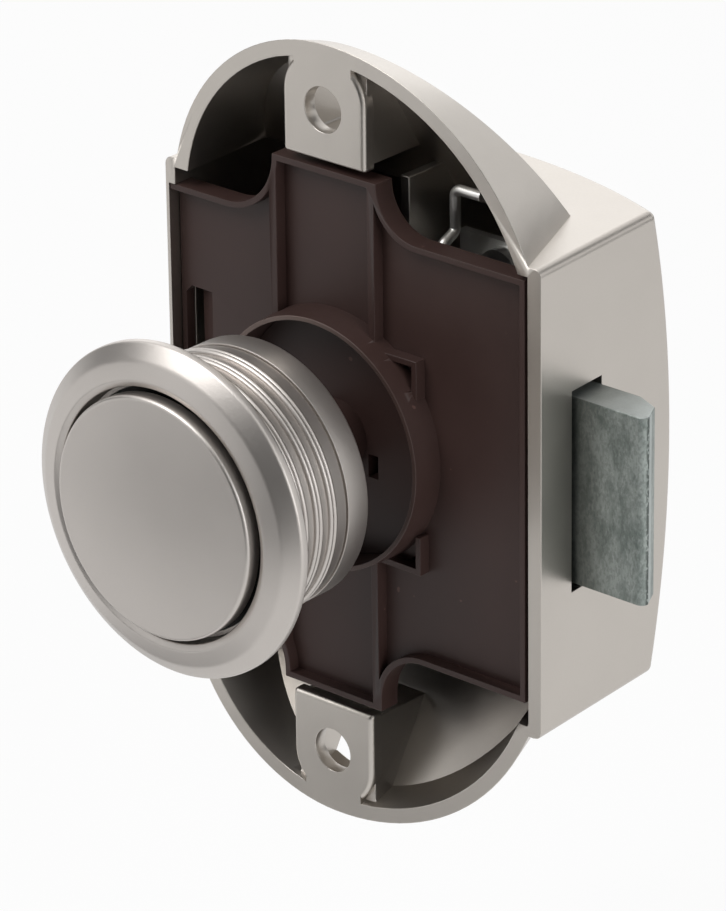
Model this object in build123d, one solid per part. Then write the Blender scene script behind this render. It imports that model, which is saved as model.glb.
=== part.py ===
"""Pushbutton door lock: a rim lock for furniture doors, with a push button that latches in and out.

The frame: X points to the side where the bolt comes out, Y from the button back to the housing, Z up.
The origin is on the button's axis, in the plane of the door's inner face, where the housing's rim lies.
All sizes are in millimetres. The button is pushed in, so the bolt stands out.
"""
from math import atan2, degrees, hypot, sqrt
import os

from build123d import *

# Housing box
BOX_LEFT = 19.6
BOX_RIGHT = 25.4
BOX_HALF_HEIGHT = 22.95
BOX_DRAFT = 0.071
BACK_DEPTH = 24.3
BACK_CROWN_X = 2.9
BACK_RADIUS_X = 58.0
BACK_RADIUS_Z = 100.0
BOX_EDGE_RADIUS = 0.8
WALL_LEFT = 1.2
WALL_RIGHT = 1.55
WALL_END = 0.95
WALL_BACK = 1.5

# Arched ends of the housing, given at the rim and at a section behind it
ARCH_PEAK_X = 0.25
ARCH_PEAK = 38.3
ARCH_RADIUS_LEFT = 18.7
ARCH_RADIUS_RIGHT = 25.9
ARCH_REAR_Y = 12.0
ARCH_REAR_PEAK = 34.7
ARCH_REAR_RADIUS = 20.7
ARCH_WALL = 1.5
ARCH_BACK_DEPTH = 11.9
ARCH_BACK_SLOPE = 0.6
ARCH_BACK_WALL = 1.3

# Screw tabs and the wells behind them
SCREW_SPACING = 64.0
SCREW_HOLE_RADIUS = 2.175
TAB_HALF_WIDTH = 4.88
TAB_ROOT_HALF_WIDTH = 3.4
TAB_FREE_END = 27.0
TAB_EDGE_RADIUS = 0.5
TAB_CORNER_RADIUS = 0.3
TAB_FLARE_START = 33.0
TAB_THICKNESS = 1.4
WELL_HALF_WIDTH = 3.7
WELL_WALL = 1.0
WELL_START = 27.5
WELL_MOUTH_RADIUS = 5.0

# Ribs inside the housing, beside the column of the cover
INNER_RIB_X = 5.7
INNER_RIB_WALL = 1.0
INNER_RIB_FRONT = 4.0
INNER_RIB_LOW = 15.0
INNER_RIB_HIGH = 26.0

# Seats that carry the cover
SEAT_Z = BOX_HALF_HEIGHT - 6.95
SEAT_HALF_HEIGHT = 1.5
SEAT_WIDTH = 2.2
SEAT_BACK = 7.0

# Bolt
BOLT_FRONT = 5.15
BOLT_BACK = 9.1
BOLT_HALF_HEIGHT = 9.17
BOLT_TIP = 32.95
BOLT_HEAD_START = 19.2
BOLT_NOSE = 0.7
BOLT_FRONT_BEVEL = 0.75
BOLT_NOSE_TURN = (1.05, 2.85)
BOLT_BACK_BEVEL_LENGTH = 3.55
TONGUE_START = 4.0
TONGUE_HALF_HEIGHT = 3.0
TONGUE_STEP = 0.05
BOLT_SLOT_CLEARANCE_Y = 0.4
BOLT_SLOT_CLEARANCE_Z = 0.68

# Bolt guide, a frame round the bolt behind its slot
GUIDE_LEFT = 19.6
GUIDE_RIGHT = 22.7
GUIDE_BACK = 11.6
GUIDE_HALF_HEIGHT = 12.0
GUIDE_POST_Z = 10.8
GUIDE_CLEARANCE = 0.1

# How far the button and the bolt travel
BUTTON_OUT = 10.0
BUTTON_OVERTRAVEL = 1.2
BOLT_PER_BUTTON = 0.76

# Inner cover
COVER_FRONT = 0.1
COVER_FLOOR = 1.3
COVER_BACK = 2.4
COVER_LEFT = 19.15
COVER_LEFT_HALF_HEIGHT = 20.3
COVER_RIGHT = 23.4
COVER_RIGHT_TOP = 21.5
COVER_RIGHT_LOW = -19.8
COVER_RIB = 0.6
REBATE_CLEARANCE = 0.05
COLLAR_RADIUS = 12.3
COLLAR_BASE_RADIUS = 12.5
COLLAR_WALL = 0.45
COLLAR_FRONT = -1.9

# Column of the cover, which runs up and down between the arched ends
COLUMN_LEFT = -6.4
COLUMN_LEFT_LOW = -5.9
COLUMN_RIGHT = 6.1
COLUMN_TOP = 26.3
COLUMN_LOW = -26.1
COLUMN_RIBS = ((-6.8, -5.95), (5.0, 5.8))

# Corner frames of the cover, each an upright and a level arm
FRAME_TOP = (10.7, 10.3)
FRAME_LOW = (11.0, -10.8)
FRAME_UPRIGHT = 3.8
FRAME_LEVEL_START = 6.0
FRAME_HOLE_WIDTH = 1.5
FRAME_HOLE_HEIGHT = 1.9

# Side window of the cover
WINDOW_LEFT = -18.55
WINDOW_RIGHT = -15.2
WINDOW_RAMP_START = -17.4
WINDOW_TOP = 10.0
WINDOW_LOW = -2.0
WINDOW_CHAMFER = 0.7

# Slider that carries the button's stroke to the bolt
SLIDER_CLEARANCE = 0.08
SLIDER_WALL = 1.3
SLIDER_DISC_FRONT = 1.5
SLIDER_DISC_BACK = 3.5
SLIDER_TUBE_BACK = 14.0
CHEEK_INNER = 3.5
CHEEK_OUTER = 5.5
CHEEK_BACK = 19.0
CHEEK_LEFT = -4.0
CHEEK_RIGHT = 8.9
PIN_RADIUS = 1.25
PIN_X = 6.0
PIN_HALF_LENGTH = 6.9
CAM_CLEARANCE = 0.1
TUBE_SLOT_MARGIN = 0.6
KEY_NEAR_X = 3.6
KEY_FAR_X = 4.8
KEY_NEAR_Z = 1.1
KEY_FAR_Z = 3.4

# Retaining clips on the drive pin
CLIP_GAUGE = 0.5
CLIP_Z = CHEEK_OUTER + 0.4
CLIP_BORE = 0.95
CLIP_RADIUS = 2.1
CLIP_MOUTH = 1.5

# Heart-shaped track in the slider and the wire that follows it
TRACK_Y = 6.5
TRACK_LANE_X = 2.0
TRACK_HALF_WIDTH = 2.7
TRACK_FLOOR = 9.1
TRACK_BLOCK_INNER = 7.6
TRACK_BLOCK_HALF_WIDTH = 4.2
TRACK_MARGIN = 0.2
HEART_HALF_WIDTH = 1.3
HEART_HEIGHT = 1.4
WIRE_RADIUS = 0.5
WIRE_HEIGHT = 14.2
WIRE_POST_X = 10.0
WIRE_HOOK_X = 13.2
WIRE_HOOK_Z = 25.0
WIRE_BEND = 0.7
WIRE_JOG_Y = 4.6
WIRE_JOG_Z = (20.9, 20.1, 17.9, 17.2)
WIRE_TIP_CLEARANCE = 0.25
EYE_CLEARANCE = 0.05

# Bracket of the latch wire and its screw
BRACKET_LEFT = 8.4
BRACKET_RIGHT = 17.0
BRACKET_SHELF_RIGHT = 11.8
BRACKET_HIGH = BOX_HALF_HEIGHT - 2.95
BRACKET_LOW = BRACKET_HIGH - 4.6
BRACKET_FRONT = 5.2
BRACKET_GAUGE = 0.8
FOOT_FRONT = 9.0
FOOT_BACK = FOOT_FRONT + BRACKET_GAUGE
FOOT_SCREW_X = 14.0
FOOT_SCREW_Z = BRACKET_HIGH - 2.5
FOOT_SCREW_RADIUS = 1.2
FOOT_SCREW_LENGTH = 6.0
FOOT_SCREW_HEAD_RADIUS = 2.2
FOOT_SCREW_HEAD = 1.5
FOOT_POST_RADIUS = 2.6

# Return spring
SPRING_X = -7.2
SPRING_MEAN_RADIUS = 2.2
SPRING_WIRE_RADIUS = 0.35
SPRING_BOSS_FRONT = BACK_DEPTH - 4.3
SPRING_TURNS = 7
SPRING_PIN_RADIUS = 1.4
SPRING_PIN_FRONT = 5.2
SPRING_PIN_BACK = SPRING_BOSS_FRONT + 1.45
SPRING_BOSS_WALL = 0.6

# Rosette
SLEEVE_RADIUS = 12.45
SLEEVE_RIB_RADIUS = 12.75
SLEEVE_RIB_HALF_WIDTH = 0.5
SLEEVE_RIB_GROOVE = 0.2
SLEEVE_BEVEL = 0.12
SLEEVE_RIB_FIRST = -13.4
SLEEVE_RIB_PITCH = -1.9
SLEEVE_RIB_COUNT = 3
SLEEVE_BORE = 11.65
SLEEVE_BACK = -11.4
BAND_BACK = -8.65
BAND_RADIUS = 12.6
FLANGE_RADIUS = 15.9
FLANGE_BACK = -20.4
FLANGE_WIDEST = -20.85
FLANGE_FRONT = -22.85
FLANGE_OPENING = 12.1
FLANGE_EDGE_RADIUS = 0.4
FLANGE_BEAD = 0.6
FLANGE_STEP = 0.3
LINER_BORE = 10.3
LINER_BACK = -9.0
LINER_FRONT = -20.6

# Button
BUTTON_RADIUS = 11.55
BUTTON_EDGE_FRONT = -23.65
BUTTON_EDGE_BACK = -22.1
BUTTON_CROWN = -24.15
BUTTON_EDGE_RADIUS = 0.45
BUTTON_DISC = 1.2
SKIRT_RADIUS = 10.2
SKIRT_WALL = 1.0
SKIRT_BACK = -7.5
STEM_RADIUS = 3.4
STEM_FRONT = -19.8
STEM_NECK = 2.4
STEM_SCREW_RADIUS = 1.4
STEM_SCREW_FRONT = -4.9
STEM_SCREW_HEAD_RADIUS = 2.9
STEM_SCREW_HEAD = 1.7
HUB_RADIUS = 5.2
HUB_BACK = -12.4
INSERT_DISC = 2.0
WEB_HALF_THICKNESS = 0.6
NUT_ACROSS_FLATS = 10.0
NUT_THICKNESS = 2.4

FIT = 0.03


def on_y(y, sketch):
    """A sketch drawn in X and Z, moved to the plane at depth y."""
    return Plane.XZ.offset(-y) * sketch


def slab(sketch, y_front, y_back):
    """A sketch drawn in X and Z, given thickness from y_front to y_back."""
    return extrude(on_y(y_front, sketch), y_front - y_back)


def block(x_span, y_span, z_span):
    """A rectangular block between the given limits."""
    size = [high - low for low, high in (x_span, y_span, z_span)]
    centre = [(high + low) / 2 for low, high in (x_span, y_span, z_span)]
    return Pos(*centre) * Box(*size)


def rod(radius, y_front, y_back, x=0.0, z=0.0):
    """A round rod along Y."""
    return slab(Pos(x, z) * Circle(radius), y_front, y_back)


def turned(points):
    """A solid turned about the Y axis from an outline of radius and depth."""
    outline = make_face(Polyline(*points, close=True))
    return revolve(outline, Axis.Y)


def outline_xz(points):
    """A face drawn in X and Z from a closed list of points."""
    return make_face(Polyline(*points, close=True))


def both_ends(solid):
    """A solid together with its mirror image below."""
    return solid + mirror(solid, about=Plane.XY)


def back_pillow(wall):
    """Everything in front of the bowed back, inset by a wall thickness."""
    radius_x = BACK_RADIUS_X - wall
    centre = (BACK_CROWN_X, BACK_DEPTH - BACK_RADIUS_X)
    axis_y = BACK_DEPTH - BACK_RADIUS_Z
    half = 30.0
    sag_y = centre[1] + sqrt(radius_x**2 - half**2)
    left = (centre[0] - half, sag_y)
    right = (centre[0] + half, sag_y)
    crown = (centre[0], centre[1] + radius_x)
    bow = ThreePointArc(left, crown, right)
    sides = Polyline(right, (right[0], axis_y), (left[0], axis_y), left)
    face = make_face(bow + sides)
    axis = Axis((0, axis_y, 0), (1, 0, 0))
    return revolve(face, axis, 40) + revolve(face, axis, -40)


def box_prism(left, right, half_height, wall):
    """The drafted box between its two sides, closed by the bowed back."""
    deep = BACK_DEPTH + 2
    corners = [(-left, 0), (right, 0), (right - BOX_DRAFT * deep, deep), (-left, deep)]
    plan = make_face(Polyline(*corners, close=True))
    prism = Pos(0, 0, -half_height) * extrude(plan, 2 * half_height)
    return prism & back_pillow(wall)


def arch_face(y, wall):
    """The outline of the upper arched end at depth y, inset by a wall thickness."""
    share = y / ARCH_REAR_Y
    peak = ARCH_PEAK + share * (ARCH_REAR_PEAK - ARCH_PEAK) - wall
    radius_left = ARCH_RADIUS_LEFT + share * (ARCH_REAR_RADIUS - ARCH_RADIUS_LEFT) - wall
    radius_right = ARCH_RADIUS_RIGHT + share * (ARCH_REAR_RADIUS - ARCH_RADIUS_RIGHT) - wall
    base = BOX_HALF_HEIGHT - 1.6
    feet = []
    arcs = []
    for side, radius in ((-1, radius_left), (1, radius_right)):
        centre_z = peak - radius
        reach = sqrt(radius**2 - (base - centre_z) ** 2)
        turn = degrees(atan2(reach, base - centre_z))
        arcs.append(CenterArc((ARCH_PEAK_X, centre_z), radius, 90, -side * turn))
        feet.append((ARCH_PEAK_X + side * reach, base))
    return on_y(y, make_face(arcs[0] + arcs[1] + Line(*feet)))


def arch_block(wall, back_wall):
    """The upper arched end with its sloped back, inset by the given walls."""
    body = loft([arch_face(0, wall), arch_face(ARCH_REAR_Y, wall)], ruled=True)
    low = BOX_HALF_HEIGHT - 2.0
    high = ARCH_PEAK + 1.0
    depth = ARCH_BACK_DEPTH - back_wall
    slope = [
        (-1, low),
        (depth - ARCH_BACK_SLOPE * (low - BOX_HALF_HEIGHT), low),
        (depth - ARCH_BACK_SLOPE * (high - BOX_HALF_HEIGHT), high),
        (-1, high),
    ]
    side = Plane.YZ.offset(-40) * make_face(Polyline(*slope, close=True))
    return body & extrude(side, 80)


def screw_tab():
    """The upper screw tab: it narrows towards its root on the arch."""
    root = ARCH_PEAK - 1.0
    sketch = Sketch()
    for side in (-1, 1):
        edge = TAB_HALF_WIDTH * side
        flare = (TAB_ROOT_HALF_WIDTH * side, TAB_FLARE_START + 3.2)
        curve = TangentArc((edge, TAB_FLARE_START), flare, tangent=(0, 1))
        rest = Polyline(
            flare,
            (TAB_ROOT_HALF_WIDTH * side, root),
            (0, root),
            (0, TAB_FREE_END),
            (edge, TAB_FREE_END),
            (edge, TAB_FLARE_START),
        )
        sketch += make_face(curve + rest)
    tab = slab(sketch, 0, TAB_THICKNESS)
    free_corners = tab.edges().filter_by(Axis.Y).sort_by(Axis.Z)[:2]
    tab = fillet(free_corners, TAB_CORNER_RADIUS)
    free_edge = tab.edges().filter_by(Axis.X).group_by(Axis.Z)[0].sort_by(Axis.Y)[0]
    return fillet(free_edge, TAB_EDGE_RADIUS)


def make_housing():
    """The die-cast housing: box, arched ends, screw tabs, wells, seats and slot."""
    screw_z = SCREW_SPACING / 2
    outer = box_prism(BOX_LEFT, BOX_RIGHT, BOX_HALF_HEIGHT, 0)
    rear_edges = outer.edges().filter_by(lambda edge: edge.center().Y > 1)
    outer = fillet(rear_edges, BOX_EDGE_RADIUS)
    arch = arch_block(0, 0)
    outer += both_ends(arch)

    left = BOX_LEFT - WALL_LEFT
    right = BOX_RIGHT - WALL_RIGHT
    cavity = box_prism(left, right, BOX_HALF_HEIGHT - WALL_END, WALL_BACK)
    cavity += both_ends(arch_block(ARCH_WALL, ARCH_BACK_WALL))
    shell = outer - cavity

    # Screw tabs, and the square wells that lead the screwdriver to them
    tab = screw_tab()
    far = WELL_HALF_WIDTH + WELL_WALL
    well = block((-far, far), (TAB_THICKNESS / 2, ARCH_REAR_Y), (WELL_START, ARCH_PEAK)) & arch
    bore = block(
        (-WELL_HALF_WIDTH, WELL_HALF_WIDTH),
        (TAB_THICKNESS, ARCH_REAR_Y + 1),
        (WELL_START + WELL_WALL, ARCH_PEAK),
    )
    bore &= loft([arch_face(0, ARCH_WALL), arch_face(ARCH_REAR_Y, ARCH_WALL)], ruled=True)
    bore &= rod(WELL_MOUTH_RADIUS, 0, ARCH_REAR_Y + 1, z=screw_z)
    hole = rod(SCREW_HOLE_RADIUS, -1, TAB_THICKNESS + 1, z=screw_z)
    shell += both_ends(tab + well)
    shell -= both_ends(bore + hole)

    # Slot for the bolt
    shell -= block(
        (right - 3, BOX_RIGHT + 1),
        (BOLT_FRONT - BOLT_SLOT_CLEARANCE_Y, BOLT_BACK + BOLT_SLOT_CLEARANCE_Y / 2),
        (-BOLT_HALF_HEIGHT - BOLT_SLOT_CLEARANCE_Z, BOLT_HALF_HEIGHT + BOLT_SLOT_CLEARANCE_Z),
    )

    # Rebate in the left wall for the edge of the cover
    rebate_left = -COVER_LEFT - REBATE_CLEARANCE
    rebate_half = COVER_LEFT_HALF_HEIGHT + REBATE_CLEARANCE
    shell -= block((rebate_left, -left + 0.1), (-1, COVER_BACK), (-rebate_half, rebate_half))

    # Two ribs beside the upper end of the cover's column, standing on the back
    for x in (-1, 1):
        span = sorted((x * INNER_RIB_X, x * (INNER_RIB_X + INNER_RIB_WALL)))
        rib = block(span, (INNER_RIB_FRONT, BACK_DEPTH), (INNER_RIB_LOW, INNER_RIB_HIGH))
        shell += rib & outer

    # Seats for the cover, posts for the bolt guide, boss of the return spring, post of the bracket
    inside = box_prism(left + 0.5, right + 0.5, BOX_HALF_HEIGHT - 0.5, WALL_BACK / 2)
    seats = Part()
    for z in (-SEAT_Z, SEAT_Z):
        high = (z - SEAT_HALF_HEIGHT, z + SEAT_HALF_HEIGHT)
        seats += block((-left - 0.5, -left + SEAT_WIDTH), (COVER_BACK, SEAT_BACK), high)
        seats += block((right - SEAT_WIDTH, right + 0.5), (COVER_BACK, SEAT_BACK), high)
    for z in (-GUIDE_POST_Z, GUIDE_POST_Z):
        seats += block((GUIDE_LEFT + 0.2, GUIDE_RIGHT - 0.2), (GUIDE_BACK, BACK_DEPTH), (z - 1, z + 1))
    boss_radius = SPRING_MEAN_RADIUS + SPRING_WIRE_RADIUS + SPRING_BOSS_WALL
    boss = rod(boss_radius, SPRING_BOSS_FRONT, BACK_DEPTH, x=SPRING_X)
    boss -= rod(SPRING_PIN_RADIUS + FIT, SPRING_BOSS_FRONT - 1, SPRING_PIN_BACK + FIT, x=SPRING_X)
    post = rod(FOOT_POST_RADIUS, FOOT_BACK, BACK_DEPTH, x=FOOT_SCREW_X, z=FOOT_SCREW_Z)
    post_bore_end = FOOT_BACK + FOOT_SCREW_LENGTH + FIT
    post -= rod(FOOT_SCREW_RADIUS + FIT, FOOT_BACK - 1, post_bore_end, x=FOOT_SCREW_X, z=FOOT_SCREW_Z)
    shell += (seats + boss + post) & inside
    return shell


def make_cover():
    """The moulded cover: ribbed plate, collar, side window and corner frames."""
    left_half = COVER_LEFT_HALF_HEIGHT
    corners = [
        (-COVER_LEFT, -left_half),
        (COLUMN_LEFT_LOW, -left_half),
        (COLUMN_LEFT_LOW, COLUMN_LOW),
        (COLUMN_RIGHT, COLUMN_LOW),
        (COLUMN_RIGHT, COVER_RIGHT_LOW),
        (COVER_RIGHT, COVER_RIGHT_LOW),
        (COVER_RIGHT, COVER_RIGHT_TOP),
        (COLUMN_RIGHT, COVER_RIGHT_TOP),
        (COLUMN_RIGHT, COLUMN_TOP),
        (COLUMN_LEFT, COLUMN_TOP),
        (COLUMN_LEFT, left_half),
        (-COVER_LEFT, left_half),
    ]
    face = outline_xz(corners)
    for corner, radius in (
        ((COLUMN_LEFT_LOW, -left_half), 5.0),
        ((COLUMN_RIGHT, COVER_RIGHT_LOW), 5.0),
        ((COLUMN_RIGHT, COVER_RIGHT_TOP), 4.7),
        ((COLUMN_LEFT, left_half), 5.8),
    ):
        near = [v for v in face.vertices() if hypot(v.X - corner[0], v.Y - corner[1]) < 0.01]
        face = fillet(near, radius)
    plate = slab(face, COVER_FRONT, COVER_BACK)
    whole = plate
    floor = offset(face, -COVER_RIB, kind=Kind.INTERSECTION)
    plate -= slab(floor, COVER_FRONT - 1, COVER_FLOOR)
    open_half = left_half - COVER_RIB
    open_left = (-COVER_LEFT - 1, -COVER_LEFT + COVER_RIB + 0.1)
    plate -= block(open_left, (COVER_FRONT - 1, COVER_FLOOR), (-open_half, open_half))

    # The two long ribs run up the column on both sides of the collar
    for span in COLUMN_RIBS:
        plate += block(span, (COVER_FRONT, COVER_BACK), (COLUMN_LOW, COLUMN_TOP)) & whole

    # Corner frames beside the collar, with a three-cornered hole inside each
    for right, top in (FRAME_TOP, FRAME_LOW):
        side = 1 if top > 0 else -1
        inner_x = right - COVER_RIB
        inner_z = top - side * COVER_RIB
        end_z = top - side * FRAME_UPRIGHT
        plate += block((FRAME_LEVEL_START, right), (COVER_FRONT, COVER_FLOOR), sorted((inner_z, top)))
        plate += block((inner_x, right), (COVER_FRONT, COVER_FLOOR), sorted((end_z, top)))
        hole = [
            (inner_x, inner_z),
            (inner_x - FRAME_HOLE_WIDTH, inner_z),
            (inner_x, inner_z - side * FRAME_HOLE_HEIGHT),
        ]
        plate -= slab(outline_xz(hole), COVER_FRONT - 1, COVER_BACK + 1)

    # Side window: its left side is upright and its right side a ramp down to the back
    ramp = [
        (WINDOW_LEFT, COVER_FRONT - 1),
        (WINDOW_RIGHT, COVER_FRONT - 1),
        (WINDOW_RIGHT, COVER_FLOOR),
        (WINDOW_RAMP_START, COVER_BACK),
        (WINDOW_RAMP_START, COVER_BACK + 1),
        (WINDOW_LEFT, COVER_BACK + 1),
    ]
    window = Pos(0, 0, WINDOW_LOW) * extrude(make_face(Polyline(*ramp, close=True)), WINDOW_TOP - WINDOW_LOW)
    top_corner = window.edges().filter_by(Axis.Y).sort_by(Axis.Z)[-1]
    plate -= chamfer(top_corner, WINDOW_CHAMFER)

    # Collar round the bore that the slider runs in
    collar = [
        (0, COLLAR_FRONT),
        (COLLAR_RADIUS, COLLAR_FRONT),
        (COLLAR_BASE_RADIUS, COVER_FLOOR),
        (COLLAR_BASE_RADIUS, COVER_BACK),
        (0, COVER_BACK),
    ]
    plate += turned(collar)
    plate -= rod(COLLAR_RADIUS - COLLAR_WALL, COLLAR_FRONT - 1, COVER_BACK + 1)
    return plate


def make_slider():
    """The moulded slider: cup, cam cheeks and heart-shaped track."""
    radius = COLLAR_RADIUS - COLLAR_WALL - SLIDER_CLEARANCE
    inner = radius - SLIDER_WALL
    body = rod(radius, SLIDER_DISC_FRONT, SLIDER_TUBE_BACK)
    body -= rod(inner, SLIDER_DISC_BACK, SLIDER_TUBE_BACK + 1)

    # Opening in the tube for the tongue of the bolt and the ends of the drive pin
    slot_half = PIN_HALF_LENGTH + TUBE_SLOT_MARGIN
    slot_front = BOLT_FRONT + TONGUE_STEP - BUTTON_OVERTRAVEL - CAM_CLEARANCE
    body -= block((5, radius + 1), (slot_front, SLIDER_TUBE_BACK + 1), (-slot_half, slot_half))

    # Cheeks with the sloped cam slots
    pin_y = (BOLT_FRONT + BOLT_BACK) / 2
    start = (PIN_X + BOLT_PER_BUTTON * BUTTON_OVERTRAVEL, pin_y - BUTTON_OVERTRAVEL)
    end = (PIN_X - BOLT_PER_BUTTON * BUTTON_OUT, pin_y + BUTTON_OUT)
    run = hypot(end[0] - start[0], end[1] - start[1])
    slope = degrees(atan2(end[1] - start[1], end[0] - start[0]))
    middle = Pos((start[0] + end[0]) / 2, (start[1] + end[1]) / 2)
    slot = middle * Rot(0, 0, slope) * SlotCenterToCenter(run, 2 * (PIN_RADIUS + CAM_CLEARANCE))
    cheeks = Part()
    for low, high in ((-CHEEK_OUTER, -CHEEK_INNER), (CHEEK_INNER, CHEEK_OUTER)):
        cheeks += block((CHEEK_LEFT, CHEEK_RIGHT), (SLIDER_DISC_BACK - 0.5, CHEEK_BACK), (low, high))
    cheeks -= Pos(0, 0, -CHEEK_OUTER - 1) * extrude(slot, 2 * CHEEK_OUTER + 2)
    body += cheeks

    # Block with the heart-shaped track, open at the top
    track_back = TRACK_Y + BUTTON_OUT + WIRE_RADIUS + TRACK_MARGIN
    track_front = TRACK_Y - BUTTON_OVERTRAVEL - WIRE_RADIUS - TRACK_MARGIN
    half = TRACK_BLOCK_HALF_WIDTH
    heart_block = block((-half, half), (SLIDER_DISC_BACK - 0.5, track_back + 1), (TRACK_BLOCK_INNER, radius))
    heart_block &= rod(radius, 0, CHEEK_BACK)
    pocket = block((-TRACK_HALF_WIDTH, TRACK_HALF_WIDTH), (track_front, track_back), (TRACK_FLOOR, radius + 1))
    body += heart_block
    body -= pocket
    notch = TRACK_Y + WIRE_RADIUS
    wide = HEART_HALF_WIDTH
    heart_points = [
        (0, notch),
        (wide, notch - 1.0),
        (wide, track_back - 3.2),
        (0, track_back - 1.4),
        (-wide, track_back - 3.2),
        (-wide, notch - 1.0),
    ]
    heart = make_face(Polyline(*heart_points, close=True))
    body += Pos(0, 0, TRACK_FLOOR - 0.2) * extrude(heart, HEART_HEIGHT + 0.2)

    # Hole for the stem, and the two key windows beside it
    body -= rod(STEM_NECK + FIT, SLIDER_DISC_FRONT - 1, SLIDER_DISC_BACK + 0.01)
    key = block((KEY_NEAR_X, KEY_FAR_X), (SLIDER_DISC_FRONT - 1, SLIDER_DISC_BACK), (-KEY_FAR_Z, -KEY_NEAR_Z))
    body -= key + Rot(0, 180, 0) * key
    return body


def make_bolt():
    """The bolt: a head with a bevelled nose, and the tongue that carries the drive pin."""
    corners = [
        (BOLT_HEAD_START, BOLT_FRONT),
        (BOLT_TIP - BOLT_NOSE, BOLT_FRONT),
        (BOLT_TIP, BOLT_FRONT + BOLT_FRONT_BEVEL),
        (BOLT_TIP - BOLT_NOSE_TURN[0], BOLT_FRONT + BOLT_NOSE_TURN[1]),
        (BOLT_TIP - BOLT_BACK_BEVEL_LENGTH, BOLT_BACK),
        (BOLT_HEAD_START, BOLT_BACK),
    ]
    plan = make_face(Polyline(*corners, close=True))
    head = Pos(0, 0, -BOLT_HALF_HEIGHT) * extrude(plan, 2 * BOLT_HALF_HEIGHT)
    tongue = block(
        (TONGUE_START, BOLT_HEAD_START + 1),
        (BOLT_FRONT + TONGUE_STEP, BOLT_BACK - TONGUE_STEP),
        (-TONGUE_HALF_HEIGHT, TONGUE_HALF_HEIGHT),
    )
    pin_y = (BOLT_FRONT + BOLT_BACK) / 2
    hole = Pos(PIN_X, pin_y, 0) * Cylinder(PIN_RADIUS + FIT, 4 * TONGUE_HALF_HEIGHT)
    return head + tongue - hole


def make_drive_pin():
    """The steel pin through the tongue, with a groove near each end for a clip."""
    pin_y = (BOLT_FRONT + BOLT_BACK) / 2
    pin = Pos(PIN_X, pin_y, 0) * Cylinder(PIN_RADIUS, 2 * PIN_HALF_LENGTH)
    for z in (-CLIP_Z, CLIP_Z):
        ring = Cylinder(PIN_RADIUS + 1, CLIP_GAUGE + 2 * FIT) - Cylinder(CLIP_BORE - FIT, 2)
        pin -= Pos(PIN_X, pin_y, z) * ring
    return pin


def make_clip(side):
    """A small open retaining clip on the end of the drive pin."""
    ring = Cylinder(CLIP_RADIUS, CLIP_GAUGE) - Cylinder(CLIP_BORE, 2)
    mouth = Pos(-CLIP_RADIUS, 0, 0) * Box(2 * CLIP_RADIUS, CLIP_MOUTH, 2)
    return Pos(PIN_X, (BOLT_FRONT + BOLT_BACK) / 2, side * CLIP_Z) * (ring - mouth)


def make_bolt_guide():
    """The frame that guides the bolt behind its slot."""
    frame = block(
        (GUIDE_LEFT, GUIDE_RIGHT),
        (COVER_BACK, GUIDE_BACK),
        (-GUIDE_HALF_HEIGHT, GUIDE_HALF_HEIGHT),
    )
    return frame - block(
        (GUIDE_LEFT - 1, GUIDE_RIGHT + 1),
        (BOLT_FRONT - GUIDE_CLEARANCE, BOLT_BACK + GUIDE_CLEARANCE),
        (-BOLT_HALF_HEIGHT - GUIDE_CLEARANCE, BOLT_HALF_HEIGHT + GUIDE_CLEARANCE),
    )


def make_bracket():
    """The bent steel bracket: a foot on its post, and a shelf with the eye that holds the latch wire."""
    shelf_high = BRACKET_LOW + BRACKET_GAUGE
    foot = block((BRACKET_LEFT, BRACKET_RIGHT), (FOOT_FRONT, FOOT_BACK), (BRACKET_LOW, BRACKET_HIGH))
    shelf = block((BRACKET_LEFT, BRACKET_SHELF_RIGHT), (BRACKET_FRONT, FOOT_BACK), (BRACKET_LOW, shelf_high))
    screw_hole = rod(FOOT_SCREW_RADIUS + 0.1, FOOT_FRONT - 1, FOOT_BACK + 1, x=FOOT_SCREW_X, z=FOOT_SCREW_Z)
    eye = Pos(WIRE_POST_X, TRACK_Y, BRACKET_LOW) * Cylinder(WIRE_RADIUS + EYE_CLEARANCE, 4)
    return foot + shelf - screw_hole - eye


def make_latch_wire():
    """The wire that follows the track: hook, post through the bracket's eye, arm and bent tip."""
    points = [
        (WIRE_HOOK_X, TRACK_Y, WIRE_HOOK_Z),
        (WIRE_POST_X, TRACK_Y, WIRE_HOOK_Z),
        (WIRE_POST_X, TRACK_Y, WIRE_JOG_Z[0]),
        (WIRE_POST_X, WIRE_JOG_Y, WIRE_JOG_Z[1]),
        (WIRE_POST_X, WIRE_JOG_Y, WIRE_JOG_Z[2]),
        (WIRE_POST_X, TRACK_Y, WIRE_JOG_Z[3]),
        (WIRE_POST_X, TRACK_Y, WIRE_HEIGHT),
        (TRACK_LANE_X, TRACK_Y, WIRE_HEIGHT),
        (TRACK_LANE_X, TRACK_Y, TRACK_FLOOR + WIRE_TIP_CLEARANCE),
    ]
    path = FilletPolyline(*points, radius=WIRE_BEND)
    return sweep(Plane(points[0], z_dir=(-1, 0, 0)) * Circle(WIRE_RADIUS), path)


def make_foot_screw():
    """The screw that fixes the bracket's foot to its post."""
    at = {"x": FOOT_SCREW_X, "z": FOOT_SCREW_Z}
    head_front = FOOT_FRONT - FOOT_SCREW_HEAD
    head = rod(FOOT_SCREW_HEAD_RADIUS, head_front, FOOT_FRONT, **at)
    shank = rod(FOOT_SCREW_RADIUS, FOOT_FRONT, FOOT_BACK + FOOT_SCREW_LENGTH, **at)
    recess = Pos(FOOT_SCREW_X, head_front, FOOT_SCREW_Z)
    cross = recess * (Box(2.4, 1.4, 0.6) + Box(0.6, 1.4, 2.4))
    return head + shank - cross


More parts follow.
